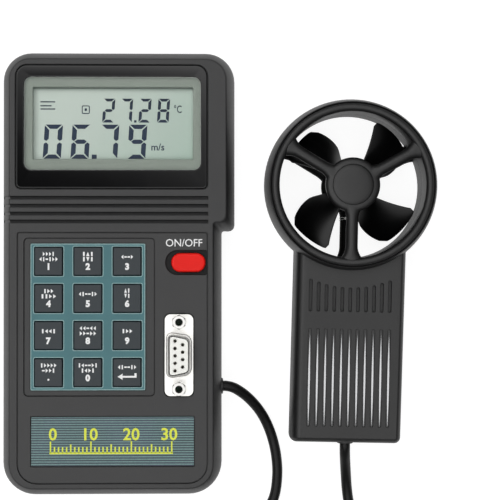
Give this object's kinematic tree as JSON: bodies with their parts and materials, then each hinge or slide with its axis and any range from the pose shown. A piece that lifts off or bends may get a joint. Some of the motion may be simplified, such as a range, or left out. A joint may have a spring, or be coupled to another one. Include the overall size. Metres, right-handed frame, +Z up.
{
  "type": "vane anemometer",
  "caption": "Handheld meter with a display, a keypad, a power button and a serial socket, joined by a cable to a ring-shaped vane probe on a slotted handle.",
  "frame": {"origin": "on the surface that the meter and the probe lie on, below the middle of the box round both, cable left out", "axes": "+Z up out of the meter's face, +Y along the meter towards its display, +X from the meter towards the probe"},
  "size_m": [0.1652, 0.238, 0.0317],
  "materials": {
    "case_plastic": "fine-grained moulded dark grey",
    "black_plastic": "glossy black",
    "key_plastic": "satin grey with printed white legends",
    "teal_plate": "satin teal print with pale outlines",
    "red_plastic": "smooth bright red",
    "clear_window": "clear flat pane",
    "lcd_surround": "matt grey-green",
    "lcd_glass": "grey-green liquid crystal with black segments",
    "circuit_board": "green solder mask",
    "bright_steel": "bright plated steel",
    "pale_insulator": "off-white moulded",
    "striped_plate": "printed plate with fine teal stripes and a yellow-green scale",
    "black_rubber": "smooth satin black",
    "red_insulation": "smooth red",
    "battery_can": "plain grey metallic",
    "magnet": "dark grey sintered",
    "bearing_brass": "plain turned",
    "coil_copper": "varnished copper winding",
    "white_bead": "small glossy white bead"
  },
  "bodies": {
    "instrument": {"front_case": "case_plastic", "rear_case": "case_plastic", "battery": "battery_can", "battery_snap": "black_rubber", "snap_lead_red": "red_insulation", "snap_lead_black": "black_rubber", "case_screw_1": "bright_steel", "case_screw_2": "bright_steel", "case_screw_3": "bright_steel", "case_screw_4": "bright_steel", "board_screw_1": "bright_steel", "board_screw_2": "bright_steel", "display_bezel": "black_plastic", "display_window": "clear_window", "lcd_frame": "lcd_surround", "lcd_panel": "lcd_glass", "lcd_contact_strip": "black_rubber", "main_board": "circuit_board", "processor": "black_plastic", "buzzer": "black_plastic", "keypad_plate": "teal_plate", "keypad_mat": "black_rubber", "power_switch": "black_plastic", "serial_shell": "bright_steel", "serial_insulator": "pale_insulator", "jack_nut_1": "bright_steel", "jack_nut_2": "bright_steel", "nameplate": "striped_plate", "meter_grommet": "black_rubber", "meter_cable": "black_rubber", "cable_coil": "black_rubber", "probe_cable": "black_rubber", "probe_grommet": "black_rubber", "probe_front": "case_plastic", "probe_rear": "case_plastic", "hub_cap": "case_plastic", "bearing_front": "bearing_brass", "bearing_rear": "bearing_brass", "pickup_coil": "coil_copper", "thermistor": "white_bead", "probe_board": "circuit_board", "probe_screw_1": "bright_steel", "probe_screw_2": "bright_steel"},
    "rotor": {"vane_wheel": "black_plastic", "axle": "bright_steel", "rotor_magnet": "magnet"},
    "door": {"battery_door": "case_plastic"},
    "power": {"power_button": "red_plastic"},
    "key_1": {"key_1": "key_plastic"},
    "key_2": {"key_2": "key_plastic"},
    "key_3": {"key_3": "key_plastic"},
    "key_4": {"key_4": "key_plastic"},
    "key_5": {"key_5": "key_plastic"},
    "key_6": {"key_6": "key_plastic"},
    "key_7": {"key_7": "key_plastic"},
    "key_8": {"key_8": "key_plastic"},
    "key_9": {"key_9": "key_plastic"},
    "key_point": {"key_point": "key_plastic"},
    "key_0": {"key_0": "key_plastic"},
    "key_enter": {"key_enter": "key_plastic"}
  },
  "joints": [
    {"name": "rotor_spin", "type": "hinge", "parent": "instrument", "child": "rotor", "pos_m": [0.04965, 0.0335, 0.0146], "axis": [0, 0, 1], "continuous": true},
    {"name": "door_slide", "type": "slide", "parent": "instrument", "child": "door", "axis": [0, -1, 0], "range_m": [0, 0.032]},
    {"name": "power_press", "type": "slide", "parent": "instrument", "child": "power", "axis": [0, 0, -1], "range_m": [0, 0.0015], "stiffness_N_per_m": 400, "springref_m": -0.001},
    {"name": "key_1_press", "type": "slide", "parent": "instrument", "child": "key_1", "axis": [0, 0, -1], "range_m": [0, 0.0008], "stiffness_N_per_m": 300, "springref_m": -0.001},
    {"name": "key_2_press", "type": "slide", "parent": "instrument", "child": "key_2", "axis": [0, 0, -1], "range_m": [0, 0.0008], "stiffness_N_per_m": 300, "springref_m": -0.001},
    {"name": "key_3_press", "type": "slide", "parent": "instrument", "child": "key_3", "axis": [0, 0, -1], "range_m": [0, 0.0008], "stiffness_N_per_m": 300, "springref_m": -0.001},
    {"name": "key_4_press", "type": "slide", "parent": "instrument", "child": "key_4", "axis": [0, 0, -1], "range_m": [0, 0.0008], "stiffness_N_per_m": 300, "springref_m": -0.001},
    {"name": "key_5_press", "type": "slide", "parent": "instrument", "child": "key_5", "axis": [0, 0, -1], "range_m": [0, 0.0008], "stiffness_N_per_m": 300, "springref_m": -0.001},
    {"name": "key_6_press", "type": "slide", "parent": "instrument", "child": "key_6", "axis": [0, 0, -1], "range_m": [0, 0.0008], "stiffness_N_per_m": 300, "springref_m": -0.001},
    {"name": "key_7_press", "type": "slide", "parent": "instrument", "child": "key_7", "axis": [0, 0, -1], "range_m": [0, 0.0008], "stiffness_N_per_m": 300, "springref_m": -0.001},
    {"name": "key_8_press", "type": "slide", "parent": "instrument", "child": "key_8", "axis": [0, 0, -1], "range_m": [0, 0.0008], "stiffness_N_per_m": 300, "springref_m": -0.001},
    {"name": "key_9_press", "type": "slide", "parent": "instrument", "child": "key_9", "axis": [0, 0, -1], "range_m": [0, 0.0008], "stiffness_N_per_m": 300, "springref_m": -0.001},
    {"name": "key_point_press", "type": "slide", "parent": "instrument", "child": "key_point", "axis": [0, 0, -1], "range_m": [0, 0.0008], "stiffness_N_per_m": 300, "springref_m": -0.001},
    {"name": "key_0_press", "type": "slide", "parent": "instrument", "child": "key_0", "axis": [0, 0, -1], "range_m": [0, 0.0008], "stiffness_N_per_m": 300, "springref_m": -0.001},
    {"name": "key_enter_press", "type": "slide", "parent": "instrument", "child": "key_enter", "axis": [0, 0, -1], "range_m": [0, 0.0008], "stiffness_N_per_m": 300, "springref_m": -0.001}
  ]
}
